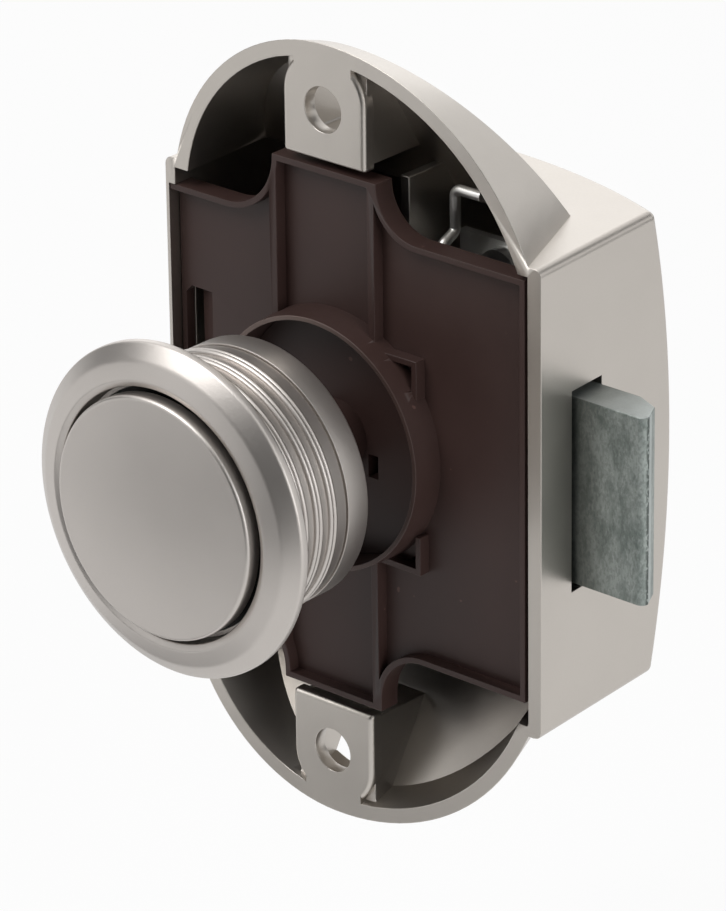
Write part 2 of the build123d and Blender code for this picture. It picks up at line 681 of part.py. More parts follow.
def make_spring():
    """The return spring, between the slider and the boss on the housing's back."""
    pitch_height = SPRING_BOSS_FRONT - SLIDER_DISC_BACK - 2 * SPRING_WIRE_RADIUS
    path = Helix(
        pitch=pitch_height / SPRING_TURNS,
        height=pitch_height,
        radius=SPRING_MEAN_RADIUS,
        center=(SPRING_X, SLIDER_DISC_BACK + SPRING_WIRE_RADIUS, 0),
        direction=(0, 1, 0),
    )
    section = Plane(path @ 0, z_dir=path % 0) * RegularPolygon(SPRING_WIRE_RADIUS, 6)
    return sweep(section, path, is_frenet=True)


def make_rosette():
    """The rosette: ribbed sleeve and rounded flange."""
    mouth = FLANGE_BACK - FLANGE_STEP
    wide = SLEEVE_RIB_HALF_WIDTH
    bevel = SLEEVE_BEVEL
    sleeve = [
        (SLEEVE_BORE, SLEEVE_BACK),
        (SLEEVE_RADIUS - bevel, SLEEVE_BACK),
        (SLEEVE_RADIUS, SLEEVE_BACK - bevel),
    ]
    for index in range(SLEEVE_RIB_COUNT):
        y = SLEEVE_RIB_FIRST + index * SLEEVE_RIB_PITCH
        sleeve += [
            (SLEEVE_RADIUS, y + wide),
            (SLEEVE_RIB_RADIUS, y + wide - bevel),
            (SLEEVE_RIB_RADIUS, y + bevel),
            (SLEEVE_RIB_RADIUS - SLEEVE_RIB_GROOVE, y),
            (SLEEVE_RIB_RADIUS, y - bevel),
            (SLEEVE_RIB_RADIUS, y - wide + bevel),
            (SLEEVE_RADIUS, y - wide),
        ]
    back_rim = (FLANGE_RADIUS - FLANGE_EDGE_RADIUS, FLANGE_BACK)
    widest = (FLANGE_RADIUS, FLANGE_WIDEST)
    shoulder = (FLANGE_RADIUS - FLANGE_EDGE_RADIUS, FLANGE_WIDEST - FLANGE_EDGE_RADIUS)
    bead = (FLANGE_OPENING + FLANGE_BEAD, FLANGE_FRONT)
    lip = (FLANGE_OPENING, FLANGE_FRONT + FLANGE_BEAD / 2)
    straight = Polyline(*sleeve, (SLEEVE_RADIUS, FLANGE_BACK), back_rim)
    edge = ThreePointArc(back_rim, widest, shoulder)
    slope = TangentArc(shoulder, bead, tangent=(-0.82, -0.57))
    rim = TangentArc(bead, lip, tangent=slope % 1)
    bore = Polyline(lip, (FLANGE_OPENING, mouth), (SLEEVE_BORE, mouth), sleeve[0])
    return revolve(make_face(straight + edge + slope + rim + bore), Axis.Y)


def make_band():
    """The plain ring on the rear end of the rosette's sleeve."""
    seat = SLEEVE_BORE
    return turned(
        [
            (seat, BAND_BACK),
            (BAND_RADIUS - SLEEVE_BEVEL, BAND_BACK),
            (BAND_RADIUS, BAND_BACK - SLEEVE_BEVEL),
            (BAND_RADIUS, SLEEVE_BACK + SLEEVE_BEVEL),
            (BAND_RADIUS - SLEEVE_BEVEL, SLEEVE_BACK),
            (seat, SLEEVE_BACK),
        ]
    )


def make_liner():
    """The moulded liner in the sleeve, in which the button slides."""
    return rod(SLEEVE_BORE - FIT, LINER_FRONT, LINER_BACK) - rod(LINER_BORE, LINER_FRONT - 1, LINER_BACK + 1)


def make_button_cap():
    """The push button: domed disc and skirt."""
    inner = SKIRT_RADIUS - SKIRT_WALL
    inside_front = BUTTON_EDGE_BACK - BUTTON_DISC
    rim = (BUTTON_RADIUS, BUTTON_EDGE_FRONT + BUTTON_EDGE_RADIUS)
    round_end = (BUTTON_RADIUS - BUTTON_EDGE_RADIUS, BUTTON_EDGE_FRONT)
    crown = (0, BUTTON_CROWN)
    shoulder = Polyline(
        (0, inside_front),
        (inner, inside_front),
        (inner, SKIRT_BACK),
        (SKIRT_RADIUS, SKIRT_BACK),
        (SKIRT_RADIUS, BUTTON_EDGE_BACK),
        (BUTTON_RADIUS, BUTTON_EDGE_BACK),
        rim,
    )
    round_edge = TangentArc(rim, round_end, tangent=(0, -1))
    dome = TangentArc(crown, round_end, tangent=(1, 0))
    axis_line = Line(crown, (0, inside_front))
    return revolve(make_face(shoulder + round_edge + dome + axis_line), Axis.Y)


def make_cap_insert():
    """The moulded insert that joins the cap to the stem: disc, hub and four webs."""
    front = BUTTON_EDGE_BACK - BUTTON_DISC
    outer = SKIRT_RADIUS - SKIRT_WALL - FIT
    body = rod(outer, front, front + INSERT_DISC)
    body += rod(HUB_RADIUS, front, HUB_BACK)
    for angle in (45, 135, 225, 315):
        web = block((HUB_RADIUS - 0.5, outer - 0.3), (front, HUB_BACK - 2), (-WEB_HALF_THICKNESS, WEB_HALF_THICKNESS))
        body += Rot(0, angle, 0) * web
    return body - rod(STEM_RADIUS + FIT, STEM_FRONT, HUB_BACK + 1)


def make_stem():
    """The moulded stem between the slider and the button."""
    body = rod(STEM_RADIUS, STEM_FRONT + FIT, SLIDER_DISC_FRONT)
    body += rod(STEM_NECK, SLIDER_DISC_FRONT, SLIDER_DISC_BACK)
    return body - rod(STEM_SCREW_RADIUS + FIT, STEM_SCREW_FRONT - FIT, SLIDER_DISC_BACK + 1)


def make_stem_nut():
    """The nut that locks the stem against the insert's hub."""
    hexagon = RegularPolygon(NUT_ACROSS_FLATS / 2, 6, major_radius=False)
    nut = slab(hexagon, HUB_BACK, HUB_BACK + NUT_THICKNESS)
    return nut - rod(STEM_RADIUS + FIT, HUB_BACK - 1, HUB_BACK + NUT_THICKNESS + 1)


def make_stem_screw():
    """The screw that clamps the slider to the stem."""
    head_back = SLIDER_DISC_BACK + STEM_SCREW_HEAD
    head = rod(STEM_SCREW_HEAD_RADIUS, SLIDER_DISC_BACK, head_back)
    shank = rod(STEM_SCREW_RADIUS, STEM_SCREW_FRONT, SLIDER_DISC_BACK)
    cross = Pos(0, head_back, 0) * (Box(3.2, 1.8, 0.7) + Box(0.7, 1.8, 3.2))
    return head + shank - cross


def make_guide_pin():
    """The pin that keeps the return spring straight."""
    return rod(SPRING_PIN_RADIUS, SPRING_PIN_FRONT, SPRING_PIN_BACK, x=SPRING_X)


pieces = {
    "housing": make_housing(),
    "cover_plate": make_cover(),
    "rosette": make_rosette(),
    "rosette_band": make_band(),
    "rosette_liner": make_liner(),
    "button_cap": make_button_cap(),
    "cap_insert": make_cap_insert(),
    "button_stem": make_stem(),
    "stem_nut": make_stem_nut(),
    "stem_screw": make_stem_screw(),
    "drive_slider": make_slider(),
    "return_spring": make_spring(),
    "spring_guide_pin": make_guide_pin(),
    "bolt": make_bolt(),
    "drive_pin": make_drive_pin(),
    "pin_clip_upper": make_clip(1),
    "pin_clip_lower": make_clip(-1),
    "bolt_guide": make_bolt_guide(),
    "latch_bracket": make_bracket(),
    "latch_wire": make_latch_wire(),
    "bracket_screw": make_foot_screw(),
}

os.makedirs("parts", exist_ok=True)
for name, solid in pieces.items():
    export_step(solid, f"parts/{name}.step")
    print(name, round(solid.volume, 1), len(solid.solids()))
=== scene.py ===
# %% [markdown]
# # A pushbutton door lock
# This lesson dresses a ready-made model of a furniture lock: it adds the camera, the studio, the
# finishes and the finer shapes. Everything is in metres, in the frame of the model: X towards the
# bolt's side, Y from the button back to the housing, Z up. The origin is on the button's axis, in the
# plane of the rim that lies on the door.

# %% Load the frame
import math

import bmesh
import bpy
from mathutils import Matrix, Vector


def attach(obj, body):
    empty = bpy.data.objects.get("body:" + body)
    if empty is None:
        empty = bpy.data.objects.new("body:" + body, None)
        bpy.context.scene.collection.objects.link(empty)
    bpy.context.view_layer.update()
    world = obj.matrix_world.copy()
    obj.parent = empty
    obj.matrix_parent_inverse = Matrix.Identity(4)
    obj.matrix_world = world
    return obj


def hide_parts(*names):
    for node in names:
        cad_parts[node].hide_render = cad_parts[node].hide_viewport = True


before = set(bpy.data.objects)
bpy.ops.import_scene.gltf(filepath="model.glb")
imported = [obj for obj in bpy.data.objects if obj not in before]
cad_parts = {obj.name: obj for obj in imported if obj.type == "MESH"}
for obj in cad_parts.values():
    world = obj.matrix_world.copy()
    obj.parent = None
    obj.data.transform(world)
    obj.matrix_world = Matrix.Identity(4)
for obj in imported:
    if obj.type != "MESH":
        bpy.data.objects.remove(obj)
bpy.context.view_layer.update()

MM = 0.001
print("nodes:", sorted(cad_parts))

# %% [markdown]
# ## The camera
# The photograph is taken from in front, to the right and a little above, with a long lens, so lines
# that run back hardly draw together. The camera is a point on a ray from the origin, moved a few
# millimetres sideways so that the lock sits where it does in the picture.

# %% Camera
AZIMUTH = math.radians(41.553)
ELEVATION = math.radians(23.782)
ROLL = math.radians(-0.764)
DISTANCE = 546.578 * MM
SIDEWAYS = 3.232 * MM
UPWARDS = -1.636 * MM
LENS = 235.66
SENSOR = 36.0

ca, sa = math.cos(AZIMUTH), math.sin(AZIMUTH)
ce, se = math.cos(ELEVATION), math.sin(ELEVATION)
to_camera = Vector((sa * ce, -ca * ce, se))
right = Vector((ca, sa, 0))
up = Vector((-sa * se, ca * se, ce))
rolled_right = right * math.cos(ROLL) + up * math.sin(ROLL)
rolled_up = up * math.cos(ROLL) - right * math.sin(ROLL)

camera_data = bpy.data.cameras.new("camera")
camera_data.lens = LENS
camera_data.sensor_width = SENSOR
camera_data.sensor_fit = "AUTO"
camera_data.clip_start = 0.01
camera_data.clip_end = 20.0
camera = bpy.data.objects.new("camera", camera_data)
place = to_camera * DISTANCE + rolled_right * SIDEWAYS + rolled_up * UPWARDS
turned = Matrix((rolled_right, rolled_up, to_camera)).transposed().to_4x4()
camera.matrix_world = Matrix.Translation(place) @ turned
bpy.context.scene.collection.objects.link(camera)
bpy.context.scene.camera = camera
bpy.context.scene.view_settings.view_transform = "Standard"
print("camera at", [round(v, 3) for v in place])

# %% [markdown]
# ## Writing materials as sums
# A finish is a small sum: noise times a strength, plus a base value. This class lets Python's own signs
# build the Math nodes, so that a finish reads like the sum it is. One method adds any other node.


# %% Material helper
class Value:
    """One socket of a material. Plus, minus and times on it add Math nodes."""

    def __init__(self, look, socket):
        self.look = look
        self.socket = socket

    def sum(self, operation, first, second):
        node = self.look.add("ShaderNodeMath", {"operation": operation}, {0: first, 1: second})
        return node.out(0)

    def __add__(self, other):
        return self.sum("ADD", self, other)

    def __radd__(self, other):
        return self.sum("ADD", other, self)

    def __sub__(self, other):
        return self.sum("SUBTRACT", self, other)

    def __rsub__(self, other):
        return self.sum("SUBTRACT", other, self)

    def __mul__(self, other):
        return self.sum("MULTIPLY", self, other)

    def __rmul__(self, other):
        return self.sum("MULTIPLY", other, self)

    def above(self, edge, soft):
        """0 below edge and 1 above it, with a soft step between."""
        node = self.look.add(
            "ShaderNodeMapRange",
            {"interpolation_type": "SMOOTHSTEP"},
            {0: self, 1: edge - soft, 2: edge + soft, 3: 0.0, 4: 1.0},
        )
        return node.out(0)


class Placed:
    """A node that is in the tree, with its outputs by name or number."""

    def __init__(self, look, node):
        self.look = look
        self.node = node

    def out(self, key):
        return Value(self.look, self.node.outputs[key])


class Look:
    """A material that is being built."""

    def __init__(self, name):
        self.material = bpy.data.materials.new(name)
        self.material.use_nodes = True
        self.tree = self.material.node_tree
        self.tree.nodes.clear()
        self.output = self.add("ShaderNodeOutputMaterial", {}, {})

    def add(self, kind, settings, inputs):
        """Any node: its settings first, then what goes into its sockets."""
        node = self.tree.nodes.new(kind)
        for key, value in settings.items():
            setattr(node, key, value)
        for key, value in inputs.items():
            socket = node.inputs[key]
            if isinstance(value, Value):
                self.tree.links.new(value.socket, socket)
            elif isinstance(value, tuple) and len(value) == 3 and socket.type == "RGBA":
                socket.default_value = (*value, 1.0)
            else:
                socket.default_value = value
        return Placed(self, node)

    def coordinates(self, scale=(1.0, 1.0, 1.0)):
        """Places on the object, stretched by scale."""
        where = self.add("ShaderNodeTexCoord", {}, {}).out("Object")
        return self.add("ShaderNodeMapping", {}, {"Vector": where, "Scale": scale}).out(0)

    def noise(self, size, detail, rough, stretch=(1.0, 1.0, 1.0)):
        """Soft noise with lumps of about the given size, in metres."""
        where = self.coordinates(stretch)
        values = {"Vector": where, "Scale": 1.0 / size, "Detail": detail, "Roughness": rough}
        return self.add("ShaderNodeTexNoise", {}, values).out(0)

    def mix(self, amount, first, second):
        """A colour between two colours."""
        settings = {"data_type": "RGBA"}
        return self.add("ShaderNodeMix", settings, {0: amount, 6: first, 7: second}).out(2)

    def bump(self, height, distance, strength=1.0, under=None):
        """A bumped surface direction, from a height."""
        values = {"Height": height, "Distance": distance, "Strength": strength}
        if under is not None:
            values["Normal"] = under
        return self.add("ShaderNodeBump", {}, values).out(0)

    def finish(self, **sockets):
        """Closes the material with a Principled shader and returns it."""
        values = {name.replace("_", " "): value for name, value in sockets.items()}
        shader = self.add("ShaderNodeBsdfPrincipled", {}, values)
        self.tree.links.new(shader.out("BSDF").socket, self.output.node.inputs["Surface"])
        return self.material


print("material helper ready")

# %% [markdown]
# ## Satin nickel
# The casting and the turned rosette are plated with nickel and left satin: a warm pale grey metal with
# a soft sheen. The casting is a little duller and shows a fine grain and shallow waves; the turned
# pieces are finer.

# %% Nickel finishes
NICKEL_GRAIN = 0.22 * MM
NICKEL_GRAIN_DEPTH = 0.012 * MM
WAVE_LENGTH = 9.0 * MM


def satin_nickel(name, colour, roughness, grain, wave):
    """Nickel whose roughness varies with a fine grain, on waves of the given height."""
    look = Look(name)
    fine = look.noise(NICKEL_GRAIN, 2.0, 0.6)
    broad = look.noise(WAVE_LENGTH, 2.0, 0.5)
    darker = tuple(c * 0.94 for c in colour)
    paler = tuple(c * 1.05 for c in colour)
    shade = look.mix(broad, darker, paler)
    rough = roughness + (fine - 0.5) * grain + (broad - 0.5) * 0.05
    waves = look.bump(broad, wave)
    normal = look.bump(fine, NICKEL_GRAIN_DEPTH, 0.5, under=waves)
    return look.finish(Base_Color=shade, Metallic=1.0, Roughness=rough, Normal=normal)


cast_nickel = satin_nickel("cast_nickel", (0.53, 0.495, 0.455), 0.36, 0.12, 0.12 * MM)
turned_nickel = satin_nickel("turned_nickel", (0.55, 0.515, 0.485), 0.40, 0.10, 0.04 * MM)
print("nickel finishes ready")

# %% [markdown]
# ## Brown moulded plastic
# The cover and the slider are moulded in dark brown plastic. It is matt, a little paler where it was
# rubbed, and carries a few specks of dust. The collar's front edge carries a painted highlight that fades
# to the
# right, where shade falls: the sum asks how far a point lies in front of the rim's plane, and how far to
# the right.

# %% Plastic finishes
RUBBED_PATCH = 6.0 * MM
DUST_SPECK = 1.1 * MM
PLASTIC_GRAIN = 0.3 * MM
PLASTIC_GRAIN_DEPTH = 0.01 * MM
COLLAR_EDGE_Y = -1.84 * MM
HIGHLIGHT_UP_TO_X = 3.5 * MM


def moulded_plastic(name, colour, rubbed_and_sheen, roughness, edge_highlight=None):
    """Matt plastic with rubbed patches and dust. A colour for a painted highlight along its front edge
    may be given.
    """
    look = Look(name)
    cloud = look.noise(RUBBED_PATCH, 3.0, 0.6)
    fine = look.noise(PLASTIC_GRAIN, 3.0, 0.6)
    specks = look.noise(DUST_SPECK, 1.0, 0.5).above(0.80, 0.02)
    shade = look.mix(cloud, colour, rubbed_and_sheen)
    dust = tuple(c * 3.0 for c in rubbed_and_sheen)
    shade = look.mix(specks * 0.5, shade, dust)
    if edge_highlight is not None:
        # Painted highlight: the collar's front edge is made paler, less so towards the right where shade
        # falls.
        place = look.add("ShaderNodeSeparateXYZ", {}, {0: look.coordinates()})
        fade = 1.0 - place.out("X").above(HIGHLIGHT_UP_TO_X, 6.0 * MM) * 0.85
        forward = (0.0 - place.out("Y")).above(-COLLAR_EDGE_Y, 0.05 * MM)
        painted_highlight = forward * (0.7 + cloud * 0.5) * fade
        shade = look.mix(painted_highlight, shade, edge_highlight)
    rough = roughness + (cloud - 0.5) * 0.12
    normal = look.bump(fine, PLASTIC_GRAIN_DEPTH, 0.5)
    return look.finish(Base_Color=shade, Roughness=rough, Normal=normal, Specular_IOR_Level=0.38)


BROWN = (0.038, 0.019, 0.016)
BROWN_RUBBED = (0.052, 0.028, 0.024)
BROWN_EDGE_HIGHLIGHT = (0.16, 0.115, 0.10)
BLACK = (0.010, 0.010, 0.010)
BLACK_RUBBED = (0.016, 0.016, 0.016)
brown_plastic = moulded_plastic("brown_moulded", BROWN, BROWN_RUBBED, 0.5, edge_highlight=BROWN_EDGE_HIGHLIGHT)
black_plastic = moulded_plastic("black_moulded", BLACK, BLACK_RUBBED, 0.5)
print("plastic finishes ready")

# %% [markdown]
# ## Bare zinc and steel
# The bolt is cast zinc, dull and blotched with grey and green, with dark grains. Shade is painted darker
# near the slot, a painted highlight makes its top face and its tip paler, and a line of dark pits runs
# along the nose. The small steel pieces are bright too.

# %% Zinc and steel finishes
BLOTCH = 1.6 * MM
SPOT = 0.3 * MM
SPOT_DEPTH = 0.03 * MM
DARK_GRAIN = 0.24 * MM
STEEL_GRAIN = 0.4 * MM
NOSE_FROM_X = 32.5 * MM
PITS_FROM_Y = 5.62 * MM
PITS_TO_Y = 5.95 * MM
EDGE_SOFTNESS = 0.1 * MM
SHADE_UP_TO_X = 27.0 * MM
TOP_FACE_Z = 9.15 * MM


def blotched_zinc():
    """Zinc for the bolt. Its marks lie at places on the bolt: painted light on the nose, the line of
    pits, painted shade by the slot and a painted highlight on top.
    """
    look = Look("blotched_zinc")
    blotch = look.noise(BLOTCH, 5.0, 0.66, stretch=(1.0, 1.0, 0.4))
    spots = look.noise(SPOT, 2.0, 0.6, stretch=(1.0, 1.0, 0.5))
    shade = look.mix(blotch.above(0.50, 0.16), (0.17, 0.20, 0.185), (0.35, 0.385, 0.365))
    shade = look.mix(spots.above(0.60, 0.10) * 0.25, shade, (0.52, 0.55, 0.53))
    grains = look.noise(DARK_GRAIN, 1.0, 0.5, stretch=(1.0, 1.0, 0.6))
    shade = look.mix(grains.above(0.56, 0.08) * 0.28, shade, (0.09, 0.105, 0.095))
    place = look.add("ShaderNodeSeparateXYZ", {}, {0: look.coordinates()})
    on_nose = place.out("X").above(NOSE_FROM_X, EDGE_SOFTNESS)
    behind_front = place.out("Y").above(PITS_FROM_Y, EDGE_SOFTNESS)
    behind_pits = place.out("Y").above(PITS_TO_Y, EDGE_SOFTNESS)
    # Painted highlight: the nose's face behind the pits is made paler, as the side light falls on it.
    shade = look.mix(behind_pits * on_nose * 0.6, shade, (0.50, 0.54, 0.53))
    pits = (behind_front - behind_pits) * on_nose * grains.above(0.42, 0.06)
    shade = look.mix(pits * 0.8, shade, (0.06, 0.07, 0.065))
    # Painted shade: the bolt is made darker towards the slot, where it goes into the housing.
    painted_shade = 1.0 - place.out("X").above(SHADE_UP_TO_X, 2.4 * MM)
    shade = look.mix(painted_shade * 0.75, shade, (0.05, 0.055, 0.05))
    # Painted highlight: the top face is made paler, as light falls on it, and less so near the slot.
    rubbed_and_sheen = place.out("Z").above(TOP_FACE_Z, 0.02 * MM)
    shade = look.mix(rubbed_and_sheen * (0.75 - painted_shade * 0.5), shade, (0.62, 0.66, 0.65))
    rough = 0.48 + (blotch - 0.5) * 0.25
    normal = look.bump(spots, SPOT_DEPTH, 0.6)
    return look.finish(Base_Color=shade, Metallic=0.75, Roughness=rough, Normal=normal)


def plain_steel(name, colour, roughness):
    """Steel of one colour, with a grain in its roughness."""
    look = Look(name)
    fine = look.noise(STEEL_GRAIN, 2.0, 0.5)
    rough = roughness + (fine - 0.5) * 0.1
    return look.finish(Base_Color=colour, Metallic=1.0, Roughness=rough)


bolt_zinc = blotched_zinc()
steel = plain_steel("plated_steel", (0.56, 0.56, 0.55), 0.3)
spring_steel = plain_steel("spring_steel", (0.80, 0.79, 0.76), 0.42)
print("zinc and steel finishes ready")

# %% [markdown]
# ## Finishes on the pieces
# The pieces that come ready from the model get their finish through their material slots.

# %% Give the ready pieces their finish
FINISH_OF_NODE = {
    "housing": cast_nickel,
    "cover_plate": brown_plastic,
    "drive_slider": brown_plastic,
    "rosette": turned_nickel,
    "rosette_band": turned_nickel,
    "button_cap": turned_nickel,
    "rosette_liner": black_plastic,
    "cap_insert": black_plastic,
    "bolt_guide": black_plastic,
    "bolt": bolt_zinc,
    "button_stem": brown_plastic,
    "stem_nut": steel,
    "stem_screw": steel,
    "spring_guide_pin": steel,
    "drive_pin": steel,
    "bracket_screw": steel,
    "return_spring": spring_steel,
    "pin_clip_upper": spring_steel,
    "pin_clip_lower": spring_steel,
    "latch_bracket": spring_steel,
    "latch_wire": spring_steel,
}

for node, finish in FINISH_OF_NODE.items():
    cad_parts[node].data.materials.clear()
    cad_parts[node].data.materials.append(finish)
print("finished", len(FINISH_OF_NODE), "pieces")

# %% [markdown]
# ## Pieces of our own
# Three kinds of pieces are made again with finer shapes: turned ones, soft-edged copies of cast ones,
# and ones with a pattern that Geometry Nodes repeats. Each stands in for a piece of the model, rides on
# the same body and names the same material slot.


# %% Adopt a finished mesh
def adopt(name, mesh, node, body, finish):
    """Puts a finished mesh into the scene in place of a piece of the model."""
    mesh.name = name
    mesh.materials.clear()
    mesh.materials.append(finish)
    piece = bpy.data.objects.new(name, mesh)
    bpy.context.scene.collection.objects.link(piece)
    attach(piece, body)
    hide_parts(node)
    print(name, "has", len(mesh.polygons), "faces")


def settle(draft):
    """The plain mesh that a draft with modifiers comes to. The draft goes away."""
    bpy.context.scene.collection.objects.link(draft)
    graph = bpy.context.evaluated_depsgraph_get()
    graph.update()
    mesh = bpy.data.meshes.new_from_object(draft.evaluated_get(graph), depsgraph=graph)
    bpy.data.objects.remove(draft)
    return mesh


# %% [markdown]
# ## Turned pieces
# The button, the rosette and its band are turned. Each is drawn as half a section, a list of radii and
# depths in millimetres with a rounding at every corner, and swept round the button's axis.

# %% Section and sweep
STEPS_ROUND = 240
SMOOTH_UP_TO = math.radians(40)


def rounded(corners, steps=5):
    """A closed outline whose corners (radius, depth, rounding) are rounded off."""
    points = []
    for index, (x, y, rounding) in enumerate(corners):
        here = Vector((x, y))
        if rounding == 0:
            points.append(here)
            continue
        before = (Vector(corners[index - 1][:2]) - here).normalized()
        after = (Vector(corners[(index + 1) % len(corners)][:2]) - here).normalized()
        half = before.angle(after) / 2
        reach = rounding / math.tan(half)
        centre = here + (before + after).normalized() * (rounding / math.sin(half))
        start = here + before * reach - centre
        end = here + after * reach - centre
        for step in range(steps + 1):
            points.append(centre + start.lerp(end, step / steps).normalized() * rounding)
    return points


def swept(outline, steps=STEPS_ROUND):
    """A closed mesh from an outline swept round the Y axis."""
    build = bmesh.new()
    turns = [2 * math.pi * step / steps for step in range(steps)]
    rings = []
    for radius, depth in outline:
        around = turns[:1] if radius == 0 else turns
        places = [(radius * math.cos(turn), depth, radius * math.sin(turn)) for turn in around]
        rings.append([build.verts.new([v * MM for v in place]) for place in places])
    for first, second in zip(rings, rings[1:] + rings[:1]):
        for step in range(steps):
            after = (step + 1) % steps
            around = [first[step % len(first)], first[after % len(first)]]
            around += [second[after % len(second)], second[step % len(second)]]
            corners = list(dict.fromkeys(around))
            if len(corners) > 2:
                build.faces.new(corners)
    bmesh.ops.recalc_face_normals(build, faces=build.faces)
    mesh = bpy.data.meshes.new("swept")
    build.to_mesh(mesh)
    build.free()
    mesh.shade_smooth()
    mesh.set_sharp_from_angle(angle=SMOOTH_UP_TO)
    return mesh


# %% Turn the button and the band
CROWN = -24.15
DOME_FRONT = -23.65
DOME_RADIUS = 11.1
DOME_STEPS = 12
EDGE_FRONT = -23.62
EDGE_REAR = -22.1
BUTTON_RADIUS = 11.55
SKIRT_RADIUS = 10.2
SKIRT_BORE = 9.2
SKIRT_REAR = -7.5
DISC_INSIDE = -23.3
dome = []
for step in range(DOME_STEPS + 1):
    share = step / DOME_STEPS
    dome.append((share * DOME_RADIUS, CROWN + (DOME_FRONT - CROWN) * share**2, 0))
button_section = dome + [
    (BUTTON_RADIUS, EDGE_FRONT, 0.35),
    (BUTTON_RADIUS, EDGE_REAR, 0.1),
    (SKIRT_RADIUS, EDGE_REAR, 0.1),
    (SKIRT_RADIUS, SKIRT_REAR, 0.1),
    (SKIRT_BORE, SKIRT_REAR, 0.1),
    (SKIRT_BORE, DISC_INSIDE, 0),
    (0, DISC_INSIDE, 0),
]
adopt("turned_button", swept(rounded(button_section)), "button_cap", "button", turned_nickel)

ROSETTE_BORE = 11.65
BAND_RADIUS = 12.6
BAND_REAR = -8.65
BAND_FRONT = -11.4
band_section = [
    (ROSETTE_BORE, BAND_REAR, 0.1),
    (BAND_RADIUS, BAND_REAR, 0.2),
    (BAND_RADIUS, BAND_FRONT, 0.04),
    (ROSETTE_BORE, BAND_FRONT, 0.05),
]
adopt("turned_band", swept(rounded(band_section)), "rosette_band", "case", turned_nickel)

# %% [markdown]
# ## A ribbed sleeve
# The sleeve of the rosette carries three double ribs. The sleeve itself is turned plain, and a Geometry
# Nodes group adds the ribs: it sweeps a small circle into a ring, puts one ring on each point of a line
# along the sleeve, and does so twice, because each rib is a pair of beads.


# %% Helper for node groups
class Pattern:
    """A Geometry Nodes group that is being built. Its inputs are named, and set by name."""

    def __init__(self, name, inputs):
        self.tree = bpy.data.node_groups.new(name, "GeometryNodeTree")
        self.tree.interface.new_socket(name="Geometry", in_out="INPUT", socket_type="NodeSocketGeometry")
        self.tree.interface.new_socket(name="Geometry", in_out="OUTPUT", socket_type="NodeSocketGeometry")
        self.key = {}
        for label, kind in inputs.items():
            kind = "NodeSocket" + kind
            socket = self.tree.interface.new_socket(name=label, in_out="INPUT", socket_type=kind)
            self.key[label] = socket.identifier
        self.source = self.tree.nodes.new("NodeGroupInput")
        self.result = self.tree.nodes.new("NodeGroupOutput")

    def given(self, label):
        """The value of a named input."""
        return self.source.outputs[label]

    def add(self, kind, inputs):
        """Any node, with what goes into its sockets. Returns its first output."""
        node = self.tree.nodes.new(kind)
        for key, value in inputs.items():
            parts = value if isinstance(value, list) else [value]
            for part in parts:
                if isinstance(part, bpy.types.NodeSocket):
                    self.tree.links.new(part, node.inputs[key])
                else:
                    node.inputs[key].default_value = part
        return node.outputs[0]

    def finish(self, geometry, material):
        """Ends with real geometry and one material."""
        real = self.add("GeometryNodeRealizeInstances", {"Geometry": geometry})
        smooth = self.add("GeometryNodeSetShadeSmooth", {"Geometry": real})
        painted = self.add("GeometryNodeSetMaterial", {"Geometry": smooth, "Material": material})
        self.tree.links.new(painted, self.result.inputs["Geometry"])

    def run(self, mesh, values):
        """Lets the group work on a mesh and returns the plain mesh that comes out, its faces outward."""
        draft = bpy.data.objects.new("draft", mesh)
        modifier = draft.modifiers.new("pattern", "NODES")
        modifier.node_group = self.tree
        for label, value in values.items():
            modifier[self.key[label]] = value
        made = settle(draft)
        build = bmesh.new()
        build.from_mesh(made)
        bmesh.ops.recalc_face_normals(build, faces=build.faces)
        build.to_mesh(made)
        build.free()
        made.set_sharp_from_angle(angle=SMOOTH_UP_TO)
        return made

# %% Ribs on the sleeve
STEPS_ROUND_BEAD = 12


def ribs_pattern():
    """The group that puts pairs of beads on a sleeve."""
    inputs = {
        "Count": "Int",
        "First": "Float",
        "Pitch": "Float",
        "Ring radius": "Float",
        "Bead radius": "Float",
        "Bead distance": "Float",
        "Material": "Material",
    }
    pattern = Pattern("ribbed sleeve", inputs)
    circle = "GeometryNodeCurvePrimitiveCircle"
    large = {"Resolution": STEPS_ROUND, "Radius": pattern.given("Ring radius")}
    small = {"Resolution": STEPS_ROUND_BEAD, "Radius": pattern.given("Bead radius")}
    ring = pattern.add(circle, large)
    bead = pattern.add(circle, small)
    hoop = pattern.add("GeometryNodeCurveToMesh", {"Curve": ring, "Profile Curve": bead})
    upright = pattern.add("GeometryNodeTransform", {"Geometry": hoop, "Rotation": (math.pi / 2, 0, 0)})
    offset = pattern.add("ShaderNodeCombineXYZ", {"Y": pattern.given("Pitch")})
    second = pattern.add("ShaderNodeMath", {0: pattern.given("First"), 1: pattern.given("Bead distance")})
    rows = []
    for start in (pattern.given("First"), second):
        place = pattern.add("ShaderNodeCombineXYZ", {"Y": start})
        values = {"Count": pattern.given("Count"), "Start Location": place, "Offset": offset}
        line = pattern.add("GeometryNodeMeshLine", values)
        rows.append(pattern.add("GeometryNodeInstanceOnPoints", {"Points": line, "Instance": upright}))
    everything = pattern.add("GeometryNodeJoinGeometry", {"Geometry": [pattern.given("Geometry"), *rows]})
    pattern.finish(everything, pattern.given("Material"))
    return pattern


